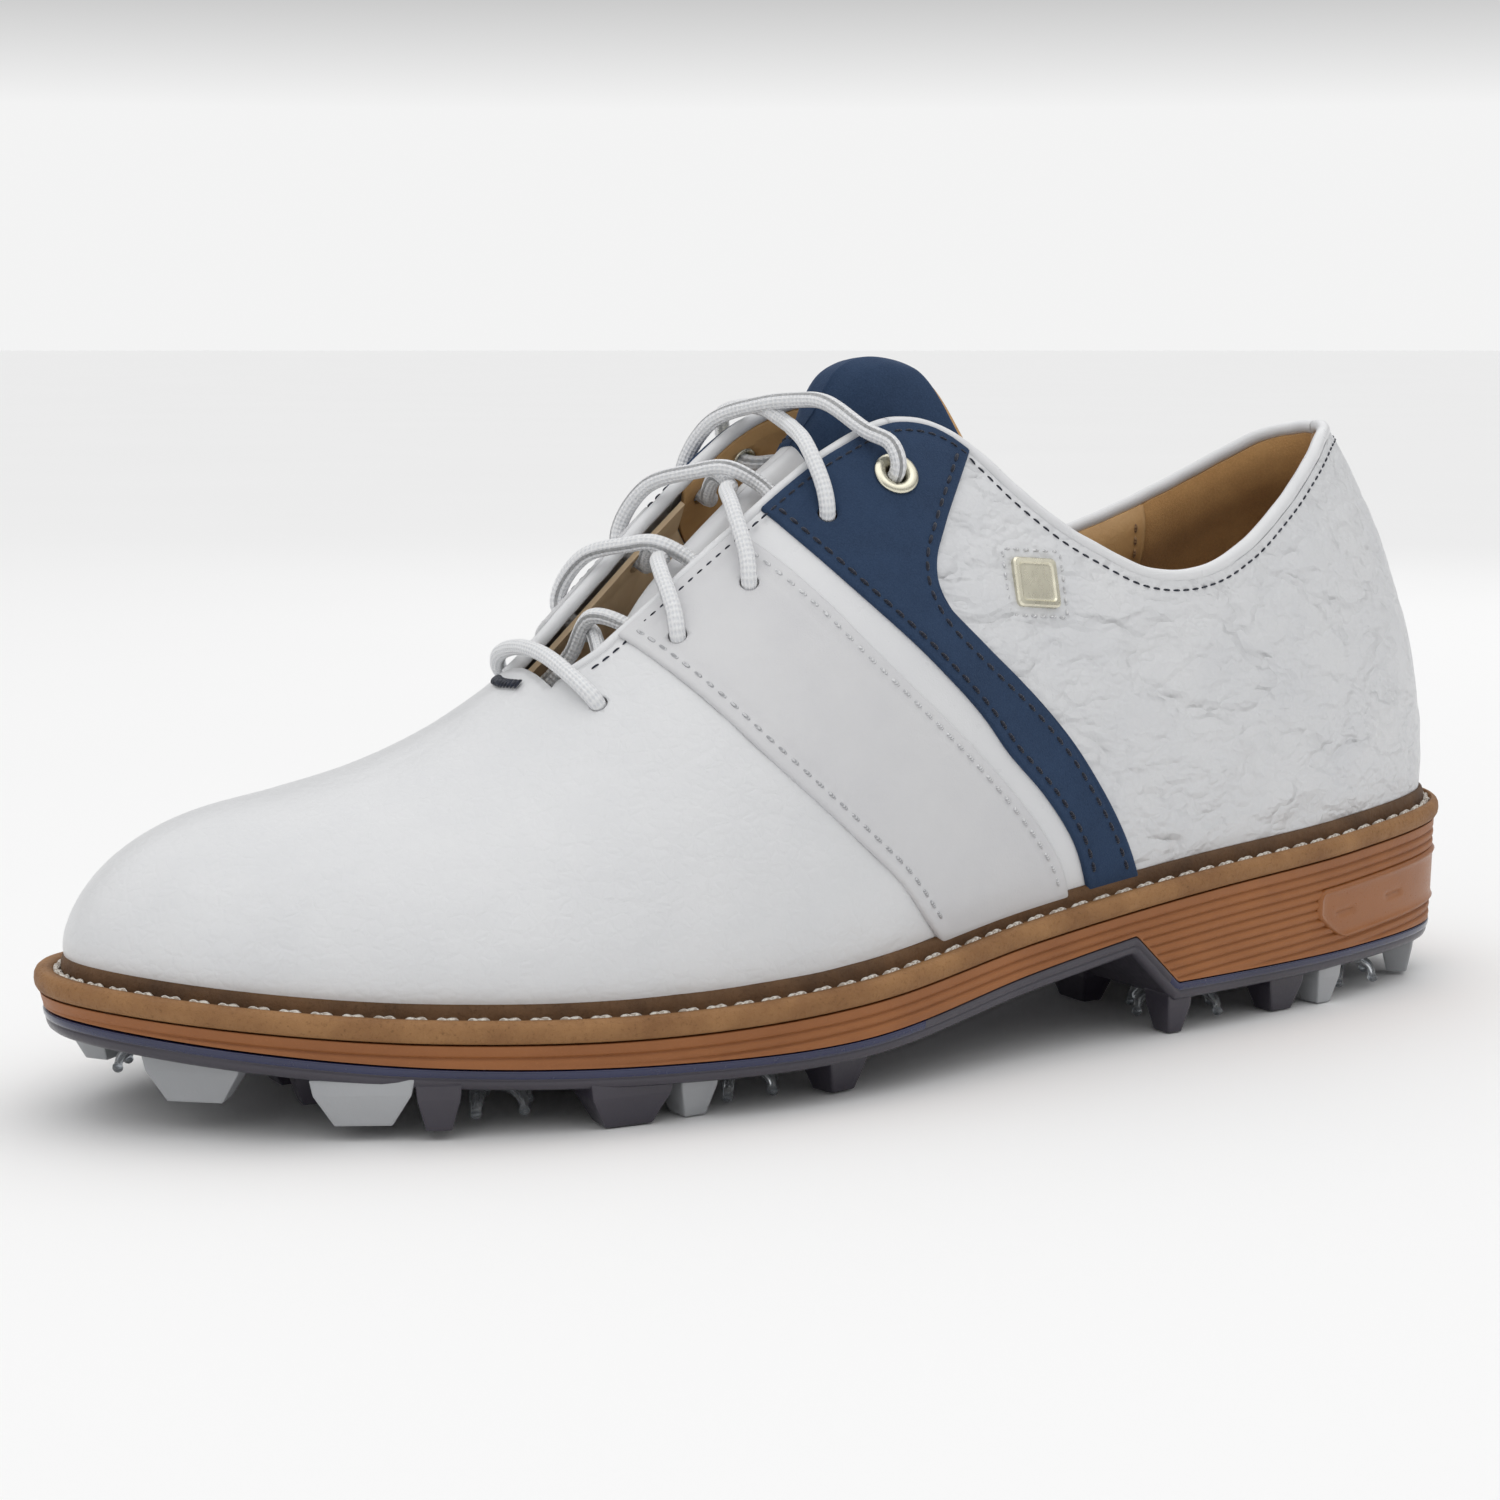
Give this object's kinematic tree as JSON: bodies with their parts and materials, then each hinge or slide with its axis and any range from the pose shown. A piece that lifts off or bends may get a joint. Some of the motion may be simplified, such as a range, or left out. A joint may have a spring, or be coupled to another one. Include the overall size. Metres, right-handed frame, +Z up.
{
  "type": "golf shoe",
  "caption": "Low-cut laced golf shoe for the left foot: welted saddle upper with a padded collar, rubber midsole, lugged outsole and twist-lock soft cleats.",
  "frame": {"origin": "middle of the shoe's bounding box, at the height of the ground the sole lugs stand on", "axes": "+X towards the toe, +Y towards the outer side of the left foot, +Z up"},
  "size_m": [0.3052, 0.1088, 0.132],
  "materials": {
    "white_leather": "satin",
    "pale_grey_leather": "satin",
    "navy_nubuck": "matt nubuck",
    "tan_lining": "smooth",
    "suede_lining": "napped",
    "welt_leather": "grained",
    "midsole_rubber": "matt",
    "tread_tpu": "translucent gloss",
    "cork": "granular",
    "fibre_board": "fibrous",
    "soft_foam": "open cell",
    "footbed_fabric": "woven",
    "shank_steel": "brushed",
    "pale_brass": "polished",
    "lace_cotton": "waxed braid",
    "aglet_plastic": "clear",
    "cleat_plastic": "translucent",
    "receptacle_plastic": "matt"
  },
  "bodies": {
    "upper_and_sole": {"midsole": "midsole_rubber", "outsole": "tread_tpu", "welt": "welt_leather", "cork_filler": "cork", "shank": "shank_steel", "insole_board": "fibre_board", "toe_puff": "fibre_board", "heel_counter": "fibre_board", "footbed": "footbed_fabric", "vamp": "white_leather", "quarter_outer": "white_leather", "quarter_inner": "white_leather", "collar_binding": "white_leather", "throat_binding_outer": "white_leather", "throat_binding_inner": "white_leather", "saddle_outer": "pale_grey_leather", "saddle_inner": "pale_grey_leather", "eyestay_strap_outer": "navy_nubuck", "eyestay_strap_inner": "navy_nubuck", "bar_tack": "navy_nubuck", "quarter_lining_outer": "tan_lining", "quarter_lining_inner": "tan_lining", "vamp_lining": "tan_lining", "heel_lining": "suede_lining", "collar_foam": "soft_foam", "eyelet_outer": "pale_brass", "eyelet_inner": "pale_brass", "quarter_badge": "pale_brass", "lace": "lace_cotton", "aglet_outer": "aglet_plastic", "aglet_inner": "aglet_plastic", "receptacle_toe": "receptacle_plastic", "receptacle_ball_front_outer": "receptacle_plastic", "receptacle_ball_front_inner": "receptacle_plastic", "receptacle_ball_rear_outer": "receptacle_plastic", "receptacle_ball_rear_inner": "receptacle_plastic", "receptacle_heel_front_outer": "receptacle_plastic", "receptacle_heel_front_inner": "receptacle_plastic", "receptacle_heel_rear_outer": "receptacle_plastic", "receptacle_heel_rear_inner": "receptacle_plastic"},
    "tongue": {"tongue_upper": "navy_nubuck", "tongue_lower": "white_leather", "tongue_foam": "soft_foam", "tongue_lining": "tan_lining"},
    "cleat_toe": {"cleat_toe": "cleat_plastic"},
    "cleat_ball_front_outer": {"cleat_ball_front_outer": "cleat_plastic"},
    "cleat_ball_front_inner": {"cleat_ball_front_inner": "cleat_plastic"},
    "cleat_ball_rear_outer": {"cleat_ball_rear_outer": "cleat_plastic"},
    "cleat_ball_rear_inner": {"cleat_ball_rear_inner": "cleat_plastic"},
    "cleat_heel_front_outer": {"cleat_heel_front_outer": "cleat_plastic"},
    "cleat_heel_front_inner": {"cleat_heel_front_inner": "cleat_plastic"},
    "cleat_heel_rear_outer": {"cleat_heel_rear_outer": "cleat_plastic"},
    "cleat_heel_rear_inner": {"cleat_heel_rear_inner": "cleat_plastic"}
  },
  "joints": [
    {"name": "tongue_dip", "type": "hinge", "parent": "upper_and_sole", "child": "tongue", "pos_m": [0.06392, -0.00493, 0.062], "axis": [0, -1, 0], "range_deg": [0, 8]},
    {"name": "twist_toe", "type": "hinge", "parent": "upper_and_sole", "child": "cleat_toe", "pos_m": [0.12892, -0.00693, 0.01283], "axis": [-0.1435, 0, 0.9897], "range_deg": [0, 60]},
    {"name": "twist_ball_front_outer", "type": "hinge", "parent": "upper_and_sole", "child": "cleat_ball_front_outer", "pos_m": [0.08392, 0.02607, 0.00817], "axis": [-0.0533, 0, 0.9986], "range_deg": [0, 60]},
    {"name": "twist_ball_front_inner", "type": "hinge", "parent": "upper_and_sole", "child": "cleat_ball_front_inner", "pos_m": [0.08792, -0.03393, 0.0084], "axis": [-0.0606, 0, 0.9982], "range_deg": [0, 60]},
    {"name": "twist_ball_rear_outer", "type": "hinge", "parent": "upper_and_sole", "child": "cleat_ball_rear_outer", "pos_m": [0.03792, 0.03307, 0.00708], "axis": [0.0035, 0, 1], "range_deg": [0, 60]},
    {"name": "twist_ball_rear_inner", "type": "hinge", "parent": "upper_and_sole", "child": "cleat_ball_rear_inner", "pos_m": [0.03992, -0.03393, 0.00708], "axis": [-0.0009, 0, 1], "range_deg": [0, 60]},
    {"name": "twist_heel_front_outer", "type": "hinge", "parent": "upper_and_sole", "child": "cleat_heel_front_outer", "pos_m": [-0.07208, 0.02307, 0.00723], "axis": [0.0012, 0, 1], "range_deg": [0, 60]},
    {"name": "twist_heel_front_inner", "type": "hinge", "parent": "upper_and_sole", "child": "cleat_heel_front_inner", "pos_m": [-0.07208, -0.01893, 0.00723], "axis": [0.0012, 0, 1], "range_deg": [0, 60]},
    {"name": "twist_heel_rear_outer", "type": "hinge", "parent": "upper_and_sole", "child": "cleat_heel_rear_outer", "pos_m": [-0.11908, 0.01607, 0.00761], "axis": [0.0209, 0, 0.9998], "range_deg": [0, 60]},
    {"name": "twist_heel_rear_inner", "type": "hinge", "parent": "upper_and_sole", "child": "cleat_heel_rear_inner", "pos_m": [-0.11908, -0.01793, 0.00761], "axis": [0.0209, 0, 0.9998], "range_deg": [0, 60]}
  ]
}
